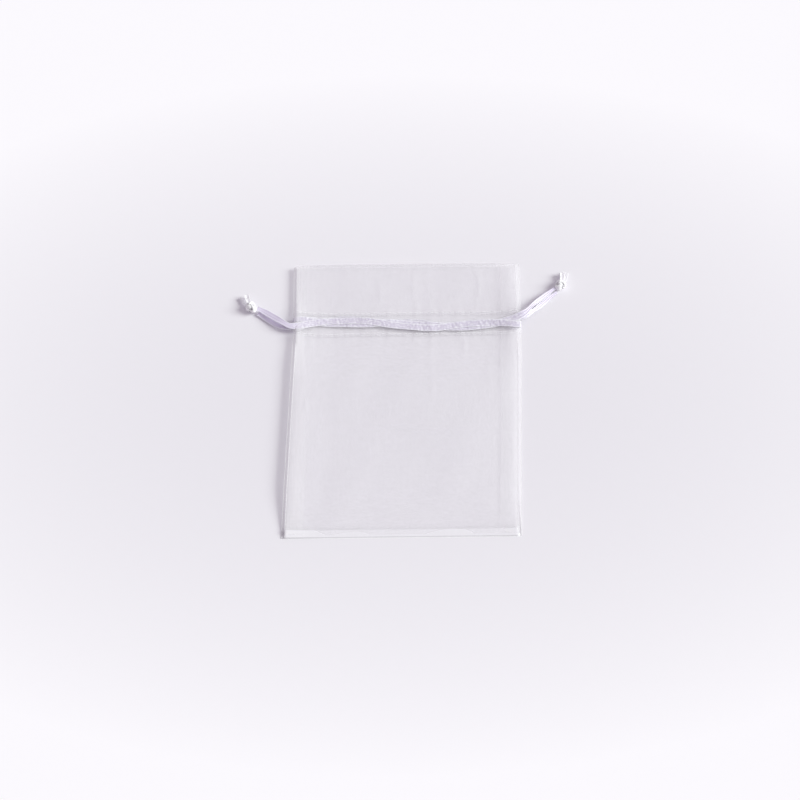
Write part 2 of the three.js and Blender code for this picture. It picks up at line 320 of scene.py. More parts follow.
class Surface:
    """A material, and the few kinds of node that the materials here are made of."""

    def __init__(self, name):
        self.material = bpy.data.materials.new(name)
        self.material.use_nodes = True
        self.tree = self.material.node_tree

    def plug(self, node, inputs):
        """Link each input to an output, or set it to a plain value."""
        for socket, value in inputs.items():
            if isinstance(value, bpy.types.NodeSocket):
                self.tree.links.new(value, node.inputs[socket])
            else:
                node.inputs[socket].default_value = value

    def node(self, kind, inputs=None, **settings):
        node = self.tree.nodes.new(f"ShaderNode{kind}")
        for setting, value in settings.items():
            setattr(node, setting, value)
        self.plug(node, inputs or {})
        return node

    def math(self, operation, *values, clamp=False):
        inputs = dict(enumerate(values))
        return self.node("Math", inputs, operation=operation, use_clamp=clamp).outputs[0]

    def climb(self, value, low, high, top=1.0):
        """0 at low and top at high, and level beyond them."""
        inputs = {"Value": value, "From Min": low, "From Max": high, "To Max": top}
        return self.node("MapRange", inputs).outputs["Result"]

    def mix(self, share, first, second):
        first, second = ((*c, 1) if isinstance(c, tuple) else c for c in (first, second))
        inputs = {"Fac": share, "Color1": first, "Color2": second}
        return self.node("MixRGB", inputs).outputs["Color"]

    def place(self):
        return self.node("TexCoord").outputs["Object"]

    def cloth(self, scale=(1, 1, 1)):
        """The cloth's own coordinates, which gather with it, times a scale."""
        inputs = {"Vector": self.node("TexCoord").outputs["UV"], "Scale": scale}
        return self.node("Mapping", inputs).outputs["Vector"]

    def axes(self, vector):
        return self.node("SeparateXYZ", {"Vector": vector}).outputs

    def noise(self, vector, scale=1.0, detail=2.0, roughness=0.5):
        inputs = {"Vector": vector, "Scale": scale, "Detail": detail, "Roughness": roughness}
        return self.node("TexNoise", inputs).outputs["Fac"]

    def yarns(self, direction):
        """Fine parallel yarns of uneven thickness, from 0 between yarns to 1 on one."""
        bands = YARNS_PER_METRE / 20 * 2 * math.pi
        inputs = {"Vector": self.cloth(), "Scale": bands, "Distortion": 0.6}
        inputs.update({"Detail": 1.0, "Detail Scale": 0.4})
        settings = {"wave_type": "BANDS", "bands_direction": direction, "wave_profile": "SIN"}
        return self.node("TexWave", inputs, **settings).outputs["Fac"]

    def bump(self, height, strength, distance):
        inputs = {"Height": height, "Strength": strength, "Distance": distance}
        return self.node("Bump", inputs).outputs["Normal"]

    def shade(self, inputs):
        self.plug(self.tree.nodes["Principled BSDF"], inputs)
        return self.material


def tinted(colour, share):
    return tuple(min(1, c * share) for c in colour)


def organza(name, cover, colour, denser=None):
    """Sheer woven cloth. cover is the share of it that is yarn. denser is an axis, two places on it
    in millimetres, and how much cover is added from the first place to the second."""
    surface = Surface(name)
    weave = surface.math("ADD", surface.yarns("X"), surface.yarns("Y"))
    slub_x = surface.noise(surface.cloth((2200, 60, 1)), detail=3.0)
    slub_y = surface.noise(surface.cloth((60, 2200, 1)), detail=3.0)
    slub = surface.math("SUBTRACT", surface.math("ADD", slub_x, slub_y), 1.0)
    cloud = surface.math("SUBTRACT", surface.noise(surface.cloth(), 55.0, 3.0), 0.5)
    density = surface.math("MULTIPLY", weave, 0.5 * cover)
    alpha = surface.math("ADD", density, 0.5 * cover)
    alpha = surface.math("ADD", alpha, surface.math("MULTIPLY", slub, 0.34 * cover))
    if denser:
        axis, start, end, added = denser
        place = surface.axes(surface.cloth())[axis]
        alpha = surface.math("ADD", alpha, surface.climb(place, start * MM, end * MM, added))
    patch = surface.math("MULTIPLY", cloud, 0.22 * cover)
    return surface.shade({
        "Alpha": surface.math("ADD", alpha, patch, clamp=True),
        "Base Color": surface.mix(slub_x, tinted(colour, 0.94), colour),
        "Normal": surface.bump(weave, 0.25, 0.05 * MM),
        "Roughness": 0.48,
        "Sheen Weight": 0.25,
        "Sheen Roughness": 0.4,
    })


def satin(name, colour, edge_colour, painted_crinkle_light=0.0, glow=0.0):
    """Ribbon satin: fine ribs across it, long floats along it, and a paler woven edge. Its fourth
    argument is how strongly its colour breaks up in the channel into darker and paler patches:
    painted shade and painted highlights of the crumpled ribbon. glow is how much light passes
    through its folds."""
    surface = Surface(name)
    ribs = surface.noise(surface.cloth((90, 5200, 1)))
    floats = surface.noise(surface.cloth((7000, 260, 1)))
    tone = surface.mix(ribs, tinted(colour, 0.93), tinted(colour, 1.05))
    place = surface.axes(surface.cloth())
    selvage = surface.climb(surface.math("ABSOLUTE", place["X"]), 1.12 * MM, 1.36 * MM)
    # In the channel the colour breaks into patches of a darker tint and of the pale edge colour:
    # painted shade and painted highlights of the crumpled ribbon.
    painted_crinkle_speckle = surface.noise(surface.cloth((1500, 900, 1)), 1.0, 3.0, 0.62)
    painted_crinkle_shade_and_highlight = surface.mix(surface.climb(painted_crinkle_speckle, 0.47, 0.68), tinted(colour, 0.77), edge_colour)
    enters = surface.climb(place["Y"], 14 * MM, 20 * MM)
    leaves = surface.climb(place["Y"], 205 * MM, 199 * MM)
    in_channel = surface.math("MULTIPLY", enters, leaves)
    body = surface.mix(surface.math("MULTIPLY", in_channel, painted_crinkle_light), tone, painted_crinkle_shade_and_highlight)
    gloss = surface.math("MULTIPLY", floats, 0.22)
    return surface.shade({
        "Base Color": surface.mix(selvage, body, edge_colour),
        "Roughness": surface.math("ADD", gloss, 0.22),
        "Normal": surface.bump(surface.math("ADD", ribs, floats), 0.35, 0.08 * MM),
        "Sheen Weight": 0.3,
        "Subsurface Weight": glow,
        "Subsurface Radius": (1.0, 0.95, 1.0),
        "Subsurface Scale": 1.1 * MM,
    })


def sewing_thread():
    """Twisted polyester."""
    surface = Surface("sewing_thread")
    twist = surface.noise(surface.place(), 9000.0, 1.0)
    colour = surface.mix(twist, (0.93, 0.93, 0.95), (1.0, 1.0, 1.0))
    return surface.shade({"Base Color": colour, "Roughness": 0.4})


ORGANZA_COLOUR = (0.97, 0.955, 0.985)
DRAWN_LEFT = ("X", -37.5, -44.0, 0.34)  # the front layers are drawn together beside the left seam
PANEL_CLOTH = organza("panel_organza", 0.24, ORGANZA_COLOUR)
FRONT_PANEL_CLOTH = organza("front_panel_organza", 0.24, ORGANZA_COLOUR, DRAWN_LEFT)
MOUTH_CLOTH = organza("mouth_organza", 0.13, ORGANZA_COLOUR)
FRONT_MOUTH_CLOTH = organza("front_mouth_organza", 0.13, ORGANZA_COLOUR, DRAWN_LEFT)
LEFT_ALLOWANCE_CLOTH = organza(
    "left_allowance_organza", 0.04, (0.985, 0.975, 0.995), ("X", -37.0, -42.0, 0.22)
)
RIGHT_ALLOWANCE_CLOTH = organza("right_allowance_organza", 0.20, ORGANZA_COLOUR)
HEM_ALLOWANCE_CLOTH = organza(
    "hem_allowance_organza", 0.08, (0.88, 0.865, 0.905), ("Y", -56.5, -57.9, 1.9)
)
# The fold's colour is a little darker than the rest of the organza: painted shade along the fold.
FOLD_CLOTH = organza("fold_organza", 0.36, (0.93, 0.915, 0.95))
EDGE_CLOTH = organza("edge_organza", 0.18, (0.97, 0.965, 0.985))
SHADED_EDGE_CLOTH = organza("shaded_edge_organza", 0.42, (0.97, 0.96, 0.985))
BOTTOM_EDGE_CLOTH = organza("bottom_edge_organza", 2.0, (0.83, 0.82, 0.855))
RIM_CLOTH = organza("rim_organza", 0.42, (0.99, 0.99, 1.0))
HEM_CLOTH = organza("hem_organza", 2.0, (0.985, 0.98, 1.0))
# The last number sets how strongly the ribbon's colour in the channel breaks into painted shade and
# painted highlights.
SATIN = satin("satin_ribbon", (0.80, 0.745, 0.90), (0.94, 0.94, 0.98), 0.85)
# The knots and cut ends are the same ribbon as the drawstrings, in a paler colour: painted
# highlight.
PAINTED_HIGHLIGHT_KNOT_SATIN = satin("knotted_satin_ribbon", (0.93, 0.90, 0.985), (0.99, 0.99, 1.0), glow=0.65)
THREAD = sewing_thread()


# ---- Gathering ----


def gather_share(y):
    """How far the edge of the bag follows the mouth: 0 below the gathering and 1 at the channel."""
    return smooth(y, GATHER_START, LOWER_ROW)


def edge_x(y, heading, margin):
    return centre_x(y) + heading * (half_width(y) - margin)


def split_x(y, heading, margin):
    """The line between the cloth that squashes and the cloth that slides with the edge."""
    reach = HALF_MOUTH * gather_share(y)
    line = CENTRE_MOUTH + heading * reach
    edge = edge_x(y, heading, margin)
    return min(line, edge) if heading > 0 else max(line, edge)


def meeting_y(heading):
    """Where the split line runs into the seam."""
    low, high = GATHER_START, LOWER_ROW
    for _ in range(40):
        y = (low + high) / 2
        if split_x(y, heading, SEAM) == edge_x(y, heading, SEAM):
            high = y
        else:
            low = y
    return low


SIDES = {
    "left": {"heading": -1, "joint": "right_pull", "mouth": "mouth_left"},
    "right": {"heading": 1, "joint": "left_pull", "mouth": "mouth_right"},
}


def squash_with_mouth(obj):
    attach(obj, "bag")
    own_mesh(obj)


def blend_to_mouth(obj):
    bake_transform(obj)


# The pieces of cloth, and facts about each, which are complete once the pieces that go with it have
# been made.
sheets = {}


def add_sheet(made, rests_on):
    obj, size, area = made
    facts = {"flat": size, "held": "laid", "rests_on": [rests_on], "area": area, "with_pieces": []}
    sheets[obj.name] = (obj, facts)
    return obj


def goes_with(sheet, obj):
    sheets[sheet][1]["with_pieces"].append(obj)


def follow_edge(side, in_header, *pieces):
    """Pieces along a side of the bag slide with it, and go with the back's sheet there."""
    for obj in pieces:
        if in_header:
            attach(obj, SIDES[side]["mouth"])
            goes_with(f"back_header_{side}", obj)
        else:
            blend_to_mouth(obj)
            goes_with(f"back_panel_{side}_side", obj)


# ---- The bag ----


def ordered(a, b):
    return (a, b) if a < b else (b, a)


def between(first, second):
    """Left and right edge functions from two edge functions in either order."""
    return (lambda y: min(first(y), second(y))), (lambda y: max(first(y), second(y)))


def build_panel(face):
    node = f"{face}_panel"
    cloth = FRONT_PANEL_CLOTH if face == "front" else PANEL_CLOTH
    height = layer_height(face, 0)
    rests_on = "floor" if face == "back" else "back_panel_left_side"
    for side, facts in SIDES.items():
        heading = facts["heading"]
        split = lambda y, h=heading: split_x(y, h, SEAM)
        edge = lambda y, h=heading: edge_x(y, h, SEAM)
        name = f"{node}_{side}_middle"
        left, right = between(lambda y: CENTRE_MOUTH, split)
        made = cloth_sheet(name, height, left, right, GATHER_START, LOWER_ROW, cloth, node)
        squash_with_mouth(add_sheet(made, rests_on))
        name = f"{node}_{side}_side"
        left, right = between(split, edge)
        end = meeting_y(heading) - 0.01 * MM
        made = cloth_sheet(name, height, left, right, BOTTOM + SEAM, end, cloth, node)
        blend_to_mouth(add_sheet(made, rests_on))


def build_mouth_layer(node, height, start, end, material, margin=0.0):
    for side, facts in SIDES.items():
        edge = lambda y, h=facts["heading"]: edge_x(y, h, margin)
        left, right = between(lambda y: CENTRE_MOUTH, edge)
        made = cloth_sheet(f"{node}_{side}", height, left, right, start, end, material, node)
        squash_with_mouth(add_sheet(made, "floor"))


def build_mouth():
    for face in ("back", "front"):
        outer = layer_height(face, 0)
        facing = layer_height(face, FACING_DEPTH)
        header_facing = layer_height(face, HEADER_FACING_DEPTH)
        cloth = FRONT_MOUTH_CLOTH if face == "front" else MOUTH_CLOTH
        build_mouth_layer(f"{face}_channel", outer, LOWER_ROW, UPPER_ROW, cloth)
        build_mouth_layer(f"{face}_channel_facing", facing, LOWER_ROW, UPPER_ROW, MOUTH_CLOTH)
        build_mouth_layer(f"{face}_header", outer, UPPER_ROW, TOP, cloth, SEAM)
        build_mouth_layer(f"{face}_header_facing", header_facing, UPPER_ROW, TOP, cloth, SEAM)


def build_mouth_folds():
    """The fold at the top of each header, where the cloth rolls over to its facing."""
    on_back = layer_height("back", 0.15 * MM)
    for face, reach in (("back", BACK_FOLD_FALL), ("front", FRONT_FOLD_FALL)):
        height = layer_height(face, 0)
        for side, facts in SIDES.items():
            x = np.linspace(*ordered(CENTRE_MOUTH, edge_x(TOP, facts["heading"], SEAM)), 49)
            top = np.full_like(x, TOP)
            z = height(x, top)
            fall = np.minimum(reach, z - on_back(x, top)) if face == "front" else reach
            points, normals, uvs = [], [], []
            for share in np.linspace(0, 1, 5):
                angle = share * math.pi / 2
                y = TOP + FOLD_PROUD * math.sin(angle)
                points.append(np.stack([x, np.full_like(x, y), z - fall * share**1.5], axis=-1))
                tipped = np.array([0, math.sin(angle), math.cos(angle)])
                normals.append(np.broadcast_to(tipped, (len(x), 3)))
                uvs.append(np.stack([x, top + fall * share], axis=-1))
            faces = grid_faces(5, len(x))
            name = f"{face}_header_{side}_fold"
            points, normals, uvs = (np.concatenate(rows) for rows in (points, normals, uvs))
            node = f"{face}_header"
            obj = new_piece(name, node, points, faces, FOLD_CLOTH, uvs, normals)
            squash_with_mouth(obj)
            goes_with(f"{face}_header_{side}", obj)


# ---- Seams and stitches ----


TUBE_SIDES = 6


def ring_faces(rings, sides, closed=False):
    """Faces between rings of vertices. closed joins the last ring to the first."""
    faces = []
    for i in range(rings if closed else rings - 1):
        ahead = (i + 1) % rings * sides
        for k in range(sides):
            turned = (k + 1) % sides
            faces.append((i * sides + k, i * sides + turned, ahead + turned, ahead + k))
    return faces


def tube(points, radius):
    """Vertices and faces of a closed round tube along some points."""
    points = [Vector(p) for p in points]
    vertices = []
    up = Vector((0, 0, 1))
    for i, point in enumerate(points):
        ahead = points[min(i + 1, len(points) - 1)]
        behind = points[max(i - 1, 0)]
        along = (ahead - behind).normalized()
        across = along.cross(up)
        across = across.normalized() if across.length > 1e-6 else Vector((1, 0, 0))
        lift = across.cross(along).normalized()
        width = radius[i] if hasattr(radius, "__len__") else radius
        for k in range(TUBE_SIDES):
            angle = 2 * math.pi * k / TUBE_SIDES
            vertices.append(point + width * (math.cos(angle) * across + math.sin(angle) * lift))
    faces = ring_faces(len(points), TUBE_SIDES)
    last = (len(points) - 1) * TUBE_SIDES
    faces.append(tuple(range(TUBE_SIDES))[::-1])
    faces.append(tuple(range(last, last + TUBE_SIDES)))
    return vertices, faces


def join_parts(parts):
    vertices, faces = [], []
    for part_vertices, part_faces in parts:
        offset = len(vertices)
        vertices.extend(part_vertices)
        faces.extend(tuple(i + offset for i in face) for face in part_faces)
    return vertices, faces


STITCH_LENGTH = 1.9 * MM
STITCH_GAP = 0.10 * MM
STITCH_RISE = 0.05 * MM
THREAD_RADIUS = 0.11 * MM
SEAM_THREAD_RADIUS = 0.045 * MM
SEAM_THREAD_HEIGHT = 0.12 * MM
RIM_RADIUS = 0.12 * MM
HEM_WIDTH = 0.65 * MM
HEM_PROUD = 0.25 * MM
ON_TABLE = 0.012 * MM


def stitches(path_at, length, radius):
    """Short humped stitches along a path, which is a function of distance."""
    parts = []
    count = int(length / (STITCH_LENGTH + STITCH_GAP))
    pitch = length / count
    stitch = pitch - STITCH_GAP
    for i in range(count):
        start = i * pitch + STITCH_GAP / 2
        points, radii = [], []
        for share in (0.0, 0.12, 0.35, 0.65, 0.88, 1.0):
            point = Vector(path_at(start + share * stitch))
            point.z += STITCH_RISE * math.sin(math.pi * share)
            points.append(point)
            radii.append(radius * (0.55 + 0.45 * math.sin(math.pi * share) ** 0.5))
        parts.append(tube(points, radii))
    return join_parts(parts)


def stitch_piece(name, path_at, length, node, radius):
    vertices, faces = stitches(path_at, length, radius)
    return new_piece(name, node, vertices, faces, THREAD)


def build_stitch_rows():
    for face in ("back", "front"):
        height = layer_height(face, 0)
        offset = THREAD_RADIUS * (0.6 if face == "front" else -0.3)
        for row, y in (("lower", LOWER_ROW), ("upper", UPPER_ROW)):
            for side, facts in SIDES.items():
                heading = facts["heading"]
                length = HALF_MOUTH - SEAM

                def path_at(distance, y=y, heading=heading):
                    x = CENTRE_MOUTH + heading * distance
                    wander = 0.12 * MM * math.sin(x / (7 * MM) + y / MM)
                    z = float(height(np.array(x), np.array(y + wander)))
                    return (x, y + wander, max(z + offset, 0.06 * MM))

                node = f"{face}_{row}_stitching"
                obj = stitch_piece(f"{node}_{side}", path_at, length, node, THREAD_RADIUS)
                squash_with_mouth(obj)
                goes_with(f"{face}_header_{side}", obj)


def seam_height(x, y):
    rise = 0.30 * MM * smooth(y, BOTTOM, BOTTOM + 6 * MM)
    return np.maximum(back_height(x, y) + rise - edge_droop(x, y), 0.06 * MM)


def at_seam_height(x, y, above=0.0):
    return (x, y, float(seam_height(np.array(x), np.array(y))) + above)


def build_side_seams():
    """The sewn edge: a strip of pressed cloth, its folded rim, and the stitches beside it."""
    for side, facts in SIDES.items():
        cloth = SHADED_EDGE_CLOTH if side == "left" else EDGE_CLOTH
        rim = lambda y, h=facts["heading"]: edge_x(y, h, 0)
        line = lambda y, h=facts["heading"]: edge_x(y, h, SEAM)
        left, right = between(rim, line)
        for part, start, end in (("side_seam", BOTTOM, LOWER_ROW), ("header_seam", UPPER_ROW, TOP)):
            node = f"{side}_{part}"
            strip, *_ = cloth_sheet(
                f"{node}_strip", seam_height, left, right, start, end, cloth, node
            )
            rim_points = []
            for y in np.linspace(start, end, int((end - start) / (1.5 * MM)) + 2):
                x, y, z = at_seam_height(rim(y), y)
                rim_points.append((x, y, max(z, RIM_RADIUS + 0.01 * MM)))
            vertices, faces = tube(rim_points, RIM_RADIUS)
            uvs = [(v[0], v[1]) for v in vertices]
            fold = new_piece(f"{node}_rim", node, vertices, faces, RIM_CLOTH, uvs)

            def path_at(distance, start=start, line=line):
                y = start + distance
                return at_seam_height(line(y), y, SEAM_THREAD_HEIGHT)

            row = stitch_piece(f"{node}_stitches", path_at, end - start, node, SEAM_THREAD_RADIUS)
            follow_edge(side, part == "header_seam", strip, fold, row)


def build_bottom_seam():
    node = "bottom_seam"
    left = lambda y: edge_x(y, -1, 0)
    right = lambda y: edge_x(y, 1, 0)
    start, end = BOTTOM, BOTTOM + SEAM
    strip, *_ = cloth_sheet(
        f"{node}_strip", seam_height, left, right, start, end, BOTTOM_EDGE_CLOTH, node
    )
    start, end = BOTTOM - HEM_PROUD, BOTTOM + HEM_WIDTH

    def hem_height(x, y):
        return lerp(ON_TABLE, seam_height(x, y) + 0.05 * MM, smooth(y, BOTTOM - 0.2 * MM, end))

    hem, *_ = cloth_sheet(
        f"{node}_rim", hem_height, left, right, start, end, HEM_CLOTH, node
    )

    def path_at(distance):
        y = BOTTOM + SEAM
        return at_seam_height(edge_x(y, -1, SEAM) + distance, y, SEAM_THREAD_HEIGHT)

    length = 2 * (HALF_BOTTOM - SEAM)
    row = stitch_piece(f"{node}_stitches", path_at, length, node, SEAM_THREAD_RADIUS)
    for obj in (strip, hem, row):
        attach(obj, "bag")
        goes_with("back_panel_left_side", obj)


SIDE_ALLOWANCE = 6.6 * MM
BOTTOM_ALLOWANCE = 3.2 * MM
ALLOWANCE_RISE = 0.35 * MM


def uneven_edge(y):
    return 0.25 * MM * math.sin(y / (11 * MM)) + 0.12 * MM * math.sin(y / (2.3 * MM))


def build_allowances():
    """The raw edges turned inside the bag, with their cut edge slightly uneven."""
    on_panel = lambda x, y: back_height(x, y) + back_ripple(x, y) + ALLOWANCE_RISE
    on_header = lambda x, y: back_height(x, y) + back_ripple(x, y) + HEADER_FACING_DEPTH + 0.3 * MM
    for side, facts in SIDES.items():
        cloth = LEFT_ALLOWANCE_CLOTH if side == "left" else RIGHT_ALLOWANCE_CLOTH
        edge = lambda y, h=facts["heading"]: edge_x(y, h, SEAM)
        inner = lambda y, h=facts["heading"]: edge_x(y, h, SEAM + (SIDE_ALLOWANCE + uneven_edge(y)))
        left, right = between(edge, inner)
        for part, height, start, end in (
            ("seam", on_panel, BOTTOM + SEAM, LOWER_ROW),
            ("header", on_header, UPPER_ROW, TOP - 0.3 * MM),
        ):
            node = f"{side}_{part}_allowance"
            obj, *_ = cloth_sheet(f"{node}_cloth", height, left, right, start, end, cloth, node)
            follow_edge(side, part == "header", obj)
    node = "bottom_seam_allowance"
    start = BOTTOM + 0.3 * MM
    end = start + 0.9 * MM + BOTTOM_ALLOWANCE
    left = lambda y: edge_x(y, -1, SEAM)
    right = lambda y: edge_x(y, 1, SEAM)

    def lifted(x, y):
        return seam_height(x, y) + 0.1 * MM + 0.4 * MM * smooth(y, BOTTOM, BOTTOM + 3 * MM)

    cloth = HEM_ALLOWANCE_CLOTH
    obj, *_ = cloth_sheet(f"{node}_cloth", lifted, left, right, start, end, cloth, node)
    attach(obj, "bag")
    goes_with("back_panel_right_side", obj)


def declare_sheets():
    """A channel is narrower than a sheet can be, so it goes with the header that it runs into."""
    for name in [n for n in sheets if "_channel" in n]:
        channel, _ = sheets.pop(name)
        goes_with(name.replace("_channel", "_header"), channel)


# ---- Ribbons ----
RIBBON_WIDTH = 2.9 * MM
RIBBON_THICKNESS = 0.16 * MM
RIBBON_COLUMNS = 13
RIBBON_FLOOR = 0.02 * MM
CHANNEL_MIDDLE = (LOWER_ROW + UPPER_ROW) / 2
CHANNEL_ENTRY_HEIGHT = 3.0 * MM
TURN_LENGTH = 2.2 * MM
BACK_SHIFT = 1.15 * MM  # the back strands lie a little higher in the channel than the front ones

# The tails' routes, as in the CAD source, in millimetres: from the knot to the end of the channel.
LEFT_TAILS = {
    "front": [(-57.1, 40.8, 1.9), (-54.4, 39.2, 1.9), (-51.2, 36.8, 2.3), (-47.8, 34.1, 3.3),
              (-44.6, 32.0, 4.4)],
    "back": [(-57.1, 39.1, 0.9), (-54.4, 37.4, 0.8), (-51.2, 35.0, 0.9), (-47.8, 32.8, 1.5),
             (-44.6, 31.6, 2.3)],
}
RIGHT_TAILS = {
    "front": [(60.2, 48.6, 1.9), (57.9, 46.7, 1.9), (54.6, 43.8, 2.2), (51.2, 40.4, 3.1),
              (48.2, 37.0, 4.3)],
    "back": [(61.0, 47.3, 0.9), (58.6, 45.4, 0.8), (55.4, 42.3, 0.9), (51.8, 38.9, 1.5),
             (48.4, 36.1, 2.3)],
}
KNOTS = {
    "left": {"centre": (-59.7, 41.3, 1.9), "turn": 43, "size": (0.44, 0.70, 0.52)},
    "right": {"centre": (62.5, 50.1, 1.9), "turn": -40, "size": (0.50, 0.62, 0.54)},
}
TIPS = {
    "left": {
        "upper": [(-61.0, 44.2, 1.9), (-61.4, 45.6, 1.8), (-61.7, 47.2, 1.7)],
        "lower": [(-62.0, 43.6, 0.9), (-62.7, 44.9, 0.8), (-63.4, 46.5, 0.6)],
    },
    "right": {
        "upper": [(63.2, 53.0, 1.9), (63.3, 54.4, 1.8), (63.4, 56.0, 1.7)],
        "lower": [(64.2, 52.9, 0.9), (64.5, 54.6, 0.8), (64.8, 56.8, 0.6)],
    },
}


def smooth_path(points, step):
    """Evenly spaced points on a Catmull-Rom curve through some points."""
    points = [Vector(p) for p in points]
    padded = [2 * points[0] - points[1], *points, 2 * points[-1] - points[-2]]
    dense = []
    for i in range(1, len(padded) - 2):
        a, b, c, d = padded[i - 1 : i + 3]
        for k in range(20):
            t = k / 20
            bent = (2 * a - 5 * b + 4 * c - d) * t * t + (3 * b - a - 3 * c + d) * t**3
            dense.append(0.5 * ((2 * b) + (c - a) * t + bent))
    dense.append(points[-1])
    lengths = np.cumsum([0.0] + [(dense[i + 1] - dense[i]).length for i in range(len(dense) - 1)])
    count = max(2, int(round(lengths[-1] / step)) + 1)
    places = np.linspace(0, lengths[-1], count)
    coordinates = np.array([tuple(p) for p in dense])
    return np.stack([np.interp(places, lengths, coordinates[:, k]) for k in range(3)], axis=-1)


def steps(path):
    return np.linalg.norm(np.diff(path, axis=0), axis=1)


def distances(path):
    """How far along a path each of its points is."""
    return np.concatenate([[0.0], np.cumsum(steps(path))])


def ribbon_frames(path, roll):
    """Width and upward directions along a path. The ribbon lies flat, and roll tips it."""
    tangents = np.gradient(path, axis=0)
    tangents /= np.linalg.norm(tangents, axis=1, keepdims=True)
    widths = np.zeros_like(path)
    current = np.cross([0, 0, 1.0], tangents[0])
    for i, tangent in enumerate(tangents):
        current = current - tangent * np.dot(current, tangent)
        current /= np.linalg.norm(current)
        widths[i] = current
    ups = np.cross(tangents, widths)
    angle = roll[:, None]
    rolled = widths * np.cos(angle) + ups * np.sin(angle)
    return rolled, np.cross(tangents, rolled)


def ribbon_piece(node, path, width, roll, lift, material):
    """A thin flat ribbon along a path, raised by lift[point, column] and closed all round."""
    widths, ups = ribbon_frames(path, roll)
    count = len(path)
    columns = RIBBON_COLUMNS
    across = np.linspace(-1, 1, columns)
    along = distances(path)
    half = 0.5 * np.broadcast_to(width, count)[:, None, None]
    middle = path[:, None, :] + widths[:, None, :] * half * across[None, :, None]
    middle = middle + ups[:, None, :] * lift[:, :, None]
    swell = RIBBON_THICKNESS * (0.4 + 0.3 * np.abs(across) ** 8)[None, :, None]
    top = (middle + ups[:, None, :] * swell).reshape(-1, 3)
    bottom = (middle - ups[:, None, :] * swell).reshape(-1, 3)
    vertices = np.concatenate([top, bottom])
    vertices[:, 2] = np.maximum(vertices[:, 2], RIBBON_FLOOR)
    offset = count * columns
    faces = []
    for i in range(count - 1):
        for c in range(columns - 1):
            a = i * columns + c
            quad = (a, a + 1, a + columns + 1, a + columns)
            faces.append(quad[::-1])
            faces.append(tuple(k + offset for k in quad))
        for c, turned in ((0, False), (columns - 1, True)):
            a = i * columns + c
            quad = (a, a + columns, a + columns + offset, a + offset)
            faces.append(quad if turned else quad[::-1])
    for i, turned in ((0, False), (count - 1, True)):
        for c in range(columns - 1):
            a = i * columns + c
            quad = (a, a + 1, a + 1 + offset, a + offset)
            faces.append(quad[::-1] if turned else quad)
    u = np.broadcast_to(0.5 * RIBBON_WIDTH * across[None, :], (count, columns))
    v = np.broadcast_to(along[:, None], (count, columns))
    uvs = np.stack([u, v], axis=-1).reshape(-1, 2)
    uvs = np.concatenate([uvs, uvs])
    return new_piece(f"{node}_satin", node, vertices, faces, material, uvs)


def crinkle(along, across, seed, sizes, slants, count):
    """Small wrinkles, from -1 to 1, over a ribbon's length and width."""
    draws = np.random.default_rng(seed)
    total = np.zeros((len(along), len(across)))
    for _ in range(count):
        length = draws.uniform(*sizes)
        slant = draws.uniform(*slants) * draws.choice((-1, 1))
        phase = draws.uniform(0, 2 * math.pi)
        patch = 0.6 + 0.4 * np.sin(2 * math.pi * along / (7.3 * length) + 3 * phase)
        wave_line = np.sin(2 * math.pi * along[:, None] / length + slant * across[None, :] + phase)
        total += patch[:, None] * wave_line
    return total / math.sqrt(count)


def ribbon_sag(x):
    """The middle line of the ribbons in the channel, which sag towards the right of the middle."""
    share = (x - CENTRE_MOUTH) / HALF_MOUTH
    dip = 1.9 * math.exp(-(((share - 0.28) / 0.42) ** 2))
    return CHANNEL_MIDDLE + MM * (0.6 - 0.75 * share - dip)


def channel_route(face, heading, depth, crossing, resting, phase):
    """One strand in the channel, from the knot's side to the far side. It swings to either side of
    the ribbons' middle line as it crosses the other ribbon, and enters and turns at resting."""
    reach = HALF_MOUTH - 1.7 * MM
    before_turn = TURN_LENGTH / reach
    height = layer_height(face, depth)
    points = []
    for share in np.linspace(-1, 1 - before_turn, 30):
        x = CENTRE_MOUTH + heading * share * reach
        calm = 1 - abs(share) ** 7
        swing = crossing * math.cos(2 * math.pi * (x - 4 * MM) / (52 * MM))
        wobble = 0.14 * MM * math.sin(x / (2.9 * MM) + phase)
        shift = BACK_SHIFT if face == "back" else 0
        y = lerp(resting, ribbon_sag(x) + swing + wobble + shift, calm)
        points.append((x, y, float(height(np.array(x), np.array(y)))))
    return points


def turn_route(heading, resting, high, low):
    """The turn round the far end of the channel."""
    points = []
    for degrees in (70, 50, 25, 0, -25, -50, -70):
        angle = math.radians(degrees)
        reach = HALF_MOUTH - 1.1 * MM - TURN_LENGTH + (TURN_LENGTH + 1.2 * MM) * math.cos(angle)
        x = CENTRE_MOUTH + heading * reach
        z = 0.5 * (high + low) + 0.5 * (high - low) * math.sin(angle)
        points.append((x, resting, z))
    return points


def scaled(points):
    return [tuple(MM * c for c in point) for point in points]


def lowered(points):
    """A tail's route, no higher than the laid channel, which is flatter than the CAD model's."""
    return [(x, y, min(z, CHANNEL_ENTRY_HEIGHT)) for x, y, z in scaled(points)]


